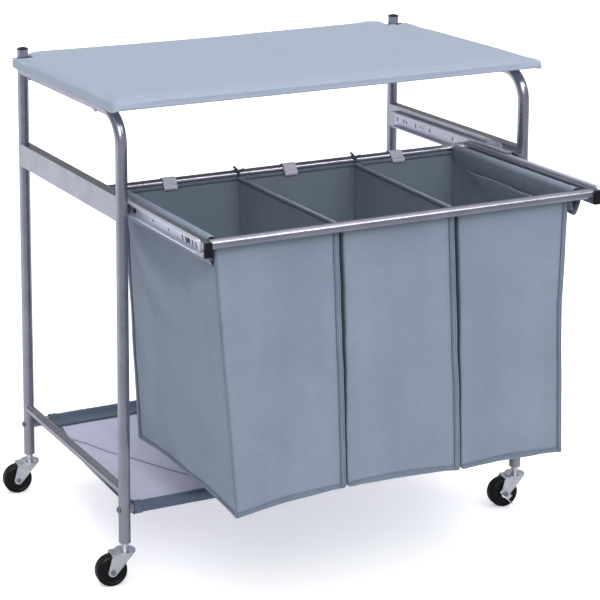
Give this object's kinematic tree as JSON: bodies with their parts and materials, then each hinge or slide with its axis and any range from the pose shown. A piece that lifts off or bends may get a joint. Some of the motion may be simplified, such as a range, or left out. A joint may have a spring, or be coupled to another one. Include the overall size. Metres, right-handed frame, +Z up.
{
  "type": "laundry cart",
  "caption": "Rolling laundry cart: tube frame on swivel casters, padded ironing top, cloth shelf, and a pull-out frame on ball slides that holds open cloth bags.",
  "frame": {"origin": "centre of the bottom face of the overall box, on the floor, with the drawer pulled out and the wheels trailing to the left", "axes": "+Z up, -Y towards the user on the drawer side, +X to the right as the user sees it"},
  "size_m": [0.8176, 0.672, 0.8025],
  "materials": {
    "frame_paint": "silver-grey powder coat",
    "black_plastic": "black moulded plastic",
    "zinc": "bright zinc plate",
    "balls": "polished steel",
    "shelf_cloth": "plain woven polyester",
    "panel_board": "fibreboard",
    "pad_foam": "soft foam felt",
    "top_cloth": "smooth coated cloth",
    "bag_cloth": "plain woven polyester",
    "loop_tape": "woven hook-and-loop tape",
    "tie_tape": "narrow woven tape",
    "wheel_rubber": "black rubber"
  },
  "bodies": {
    "frame": {"left_bent_tube": "frame_paint", "right_bent_tube": "frame_paint", "left_back_post": "frame_paint", "right_back_post": "frame_paint", "left_upper_rail": "frame_paint", "right_upper_rail": "frame_paint", "left_lower_rail": "frame_paint", "right_lower_rail": "frame_paint", "post_caps": "black_plastic", "stem_sockets": "black_plastic", "front_shelf_tube": "frame_paint", "back_shelf_tube": "frame_paint", "shelf_bolts": "zinc", "shelf_fabric": "shelf_cloth", "board_panel": "panel_board", "board_pad": "pad_foam", "board_cover": "top_cloth", "board_screws": "zinc", "left_slide_outer": "zinc", "right_slide_outer": "zinc", "slide_rail_screws": "zinc", "front_left_stem": "zinc", "front_right_stem": "zinc", "back_left_stem": "zinc", "back_right_stem": "zinc"},
    "ball_cages": {"left_ball_cage": "zinc", "right_ball_cage": "zinc", "left_slide_balls": "balls", "right_slide_balls": "balls"},
    "drawer": {"left_drawer_rail": "frame_paint", "right_drawer_rail": "frame_paint", "drawer_front_bar": "frame_paint", "drawer_back_bar": "frame_paint", "drawer_rail_plugs": "black_plastic", "left_bag_rod": "frame_paint", "right_bag_rod": "frame_paint", "left_slide_inner": "zinc", "right_slide_inner": "zinc", "drawer_slide_screws": "zinc", "left_bag": "bag_cloth", "middle_bag": "bag_cloth", "right_bag": "bag_cloth", "bag_loops": "loop_tape", "divider_ties": "tie_tape"},
    "front_left_caster": {"front_left_fork": "zinc", "front_left_axle": "zinc"},
    "front_left_roller": {"front_left_wheel": "wheel_rubber"},
    "front_right_caster": {"front_right_fork": "zinc", "front_right_axle": "zinc"},
    "front_right_roller": {"front_right_wheel": "wheel_rubber"},
    "front_right_lever": {"front_right_brake": "zinc"},
    "back_left_caster": {"back_left_fork": "zinc", "back_left_axle": "zinc"},
    "back_left_roller": {"back_left_wheel": "wheel_rubber"},
    "back_right_caster": {"back_right_fork": "zinc", "back_right_axle": "zinc"},
    "back_right_roller": {"back_right_wheel": "wheel_rubber"},
    "back_right_lever": {"back_right_brake": "zinc"}
  },
  "joints": [
    {"name": "drawer_slide", "type": "slide", "parent": "frame", "child": "drawer", "axis": [0, 1, 0], "range_m": [0, 0.247]},
    {"name": "cage_slide", "type": "slide", "parent": "frame", "child": "ball_cages", "axis": [0, 1, 0], "range_m": [0, 0.1235]},
    {"name": "front_left_swivel", "type": "hinge", "parent": "frame", "child": "front_left_caster", "pos_m": [-0.3597, -0.098, 0.06], "axis": [0, 0, 1], "continuous": true},
    {"name": "front_left_roll", "type": "hinge", "parent": "front_left_caster", "child": "front_left_roller", "pos_m": [-0.38282, -0.09516, 0.0255], "axis": [-0.1219, -0.9925, 0], "continuous": true},
    {"name": "front_right_swivel", "type": "hinge", "parent": "frame", "child": "front_right_caster", "pos_m": [0.3833, -0.098, 0.06], "axis": [0, 0, 1], "continuous": true},
    {"name": "front_right_roll", "type": "hinge", "parent": "front_right_caster", "child": "front_right_roller", "pos_m": [0.36018, -0.09516, 0.0255], "axis": [-0.1219, -0.9925, 0], "continuous": true},
    {"name": "front_right_brake_hinge", "type": "hinge", "parent": "front_right_caster", "child": "front_right_lever", "pos_m": [0.36018, -0.09516, 0.0255], "axis": [-0.1219, -0.9925, 0], "range_deg": [0, 45]},
    {"name": "back_left_swivel", "type": "hinge", "parent": "frame", "child": "back_left_caster", "pos_m": [-0.3597, 0.306, 0.06], "axis": [0, 0, 1], "continuous": true},
    {"name": "back_left_roll", "type": "hinge", "parent": "back_left_caster", "child": "back_left_roller", "pos_m": [-0.38282, 0.30884, 0.0255], "axis": [-0.1219, -0.9925, 0], "continuous": true},
    {"name": "back_right_swivel", "type": "hinge", "parent": "frame", "child": "back_right_caster", "pos_m": [0.3833, 0.306, 0.06], "axis": [0, 0, 1], "continuous": true},
    {"name": "back_right_roll", "type": "hinge", "parent": "back_right_caster", "child": "back_right_roller", "pos_m": [0.36018, 0.30884, 0.0255], "axis": [-0.1219, -0.9925, 0], "continuous": true},
    {"name": "back_right_brake_hinge", "type": "hinge", "parent": "back_right_caster", "child": "back_right_lever", "pos_m": [0.36018, 0.30884, 0.0255], "axis": [-0.1219, -0.9925, 0], "range_deg": [0, 45]}
  ],
  "couplings": [
    {"joint": "cage_slide", "follows": "drawer_slide", "ratio": 0.5}
  ]
}
